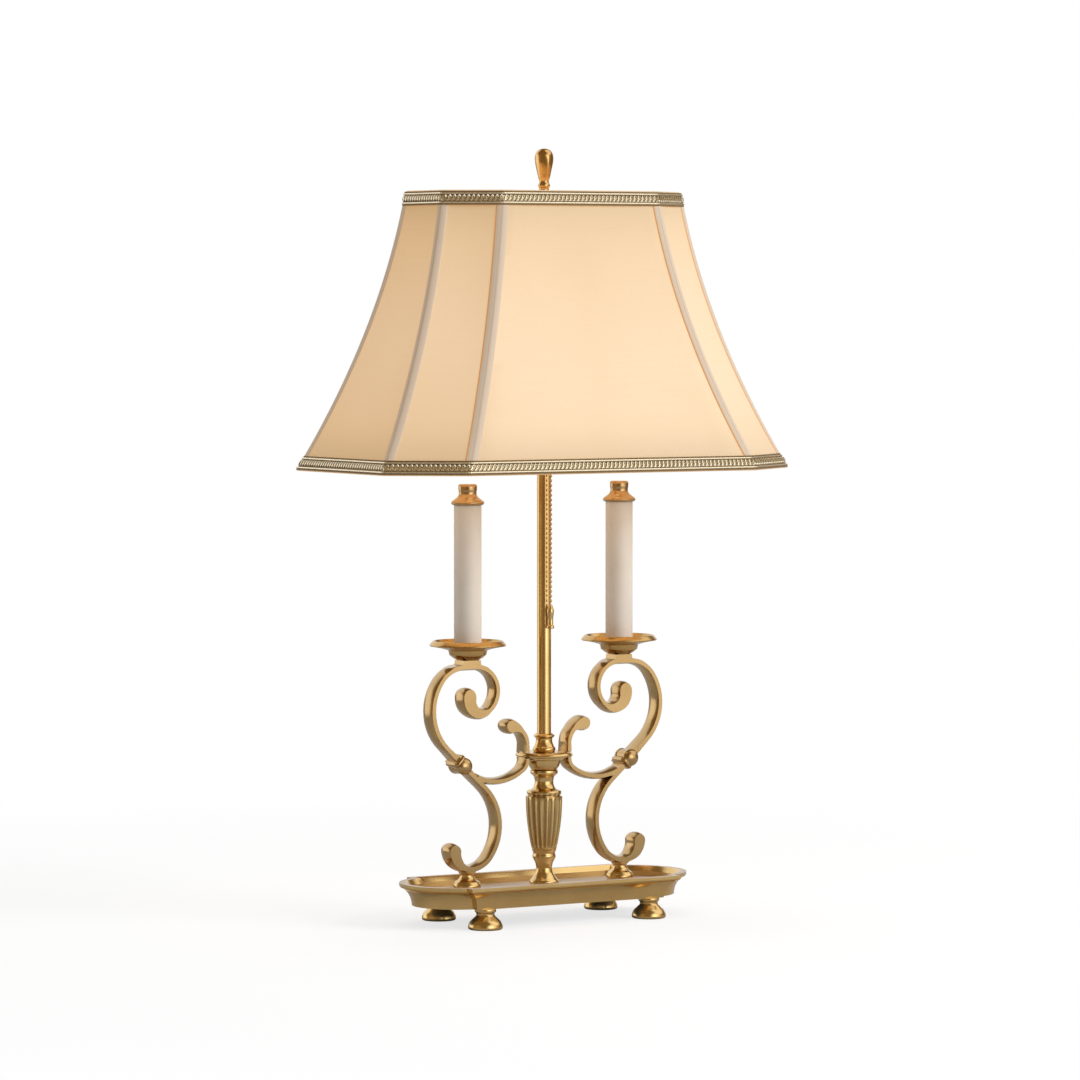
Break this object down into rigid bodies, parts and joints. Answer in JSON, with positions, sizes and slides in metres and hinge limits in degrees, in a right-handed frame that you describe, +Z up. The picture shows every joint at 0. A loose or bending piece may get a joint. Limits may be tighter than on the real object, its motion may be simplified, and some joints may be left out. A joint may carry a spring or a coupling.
{
  "type": "bouillotte lamp",
  "caption": "Brass bouillotte table lamp: footed tray, fluted column, scroll arms with dummy candles, pull chain and a cut-corner bell shade under a finial.",
  "frame": {"origin": "bottom centre, on the surface the feet stand on", "axes": "+Z up, X along the tray and the shade, -Y the front, where the pull chain hangs"},
  "size_m": [0.4194, 0.2444, 0.686],
  "materials": {
    "brass": "satin, lightly aged",
    "steel": "plain",
    "iron": "as cast",
    "candle": "ivory, matt",
    "porcelain": "glazed",
    "rubber": "matt",
    "wire_cover": "matt",
    "silk": "stretched cloth",
    "lining": "stretched cloth",
    "tape": "woven tape",
    "trim": "woven braid",
    "glass": "frosted",
    "fibre": "matt"
  },
  "bodies": {
    "lamp": {"foot_front_left": "brass", "foot_front_right": "brass", "foot_back_left": "brass", "foot_back_right": "brass", "foot_screws": "steel", "base_plate": "steel", "base_weight": "iron", "tray": "brass", "cord_bushing": "rubber", "pipe_nut": "brass", "pipe_washer": "steel", "threaded_pipe": "brass", "lead_wires": "wire_cover", "column": "brass", "collar": "brass", "stem_socket": "brass", "stem_tube": "brass", "pedestal_left": "brass", "pedestal_right": "brass", "arm_screws": "steel", "arm_left": "brass", "arm_right": "brass", "curl_left": "brass", "curl_right": "brass", "drip_pan_left": "brass", "drip_pan_right": "brass", "candle_rods": "steel", "candle_left": "candle", "candle_right": "candle", "candle_cap_left": "brass", "candle_cap_right": "brass", "cluster_body": "brass", "cluster_cap": "brass", "switch_frame": "fibre", "chain_bushing": "brass", "lamp_holder_left": "porcelain", "lamp_holder_right": "porcelain", "shade_rod": "brass", "spider_nut": "brass"},
    "drum": {"switch_drum": "fibre"},
    "chain_top_link": {"chain_link": "brass"},
    "chain": {"pull_chain": "brass", "chain_pull": "brass"},
    "bulb_left": {"bulb_left": "glass"},
    "bulb_right": {"bulb_right": "glass"},
    "shade": {"shade_frame": "steel", "spider": "steel", "shade_cover": "silk", "shade_lining": "lining", "rib_tapes": "tape", "trim_top": "trim", "trim_bottom": "trim"},
    "finial": {"finial": "brass"}
  },
  "joints": [
    {"name": "chain_pull", "type": "slide", "parent": "lamp", "child": "chain_top_link", "axis": [0, 0, -1], "range_m": [0, 0.008], "stiffness_N_per_m": 150, "springref_m": -0.004},
    {"name": "drum_turn", "type": "hinge", "parent": "lamp", "child": "drum", "pos_m": [0, -0.00505, 0.4671], "axis": [1, 0, 0], "range_deg": [0, 118]},
    {"name": "chain_swing", "type": "hinge", "parent": "chain_top_link", "child": "chain", "pos_m": [0, -0.011, 0.4427], "axis": [0, 1, 0], "range_deg": [-15, 15]},
    {"name": "bulb_left_turn", "type": "hinge", "parent": "lamp", "child": "bulb_left", "pos_m": [-0.043, 0, 0.4681], "axis": [1, 0, 0], "continuous": true},
    {"name": "bulb_right_turn", "type": "hinge", "parent": "lamp", "child": "bulb_right", "pos_m": [0.043, 0, 0.4681], "axis": [1, 0, 0], "continuous": true},
    {"name": "shade_turn", "type": "hinge", "parent": "lamp", "child": "shade", "pos_m": [0, 0, 0.64402], "axis": [0, 0, 1], "continuous": true},
    {"name": "finial_turn", "type": "hinge", "parent": "lamp", "child": "finial", "pos_m": [0, 0, 0.64562], "axis": [0, 0, 1], "continuous": true}
  ],
  "couplings": [
    {"joint": "drum_turn", "follows": "chain_pull", "rad_per_m": 246.25}
  ]
}
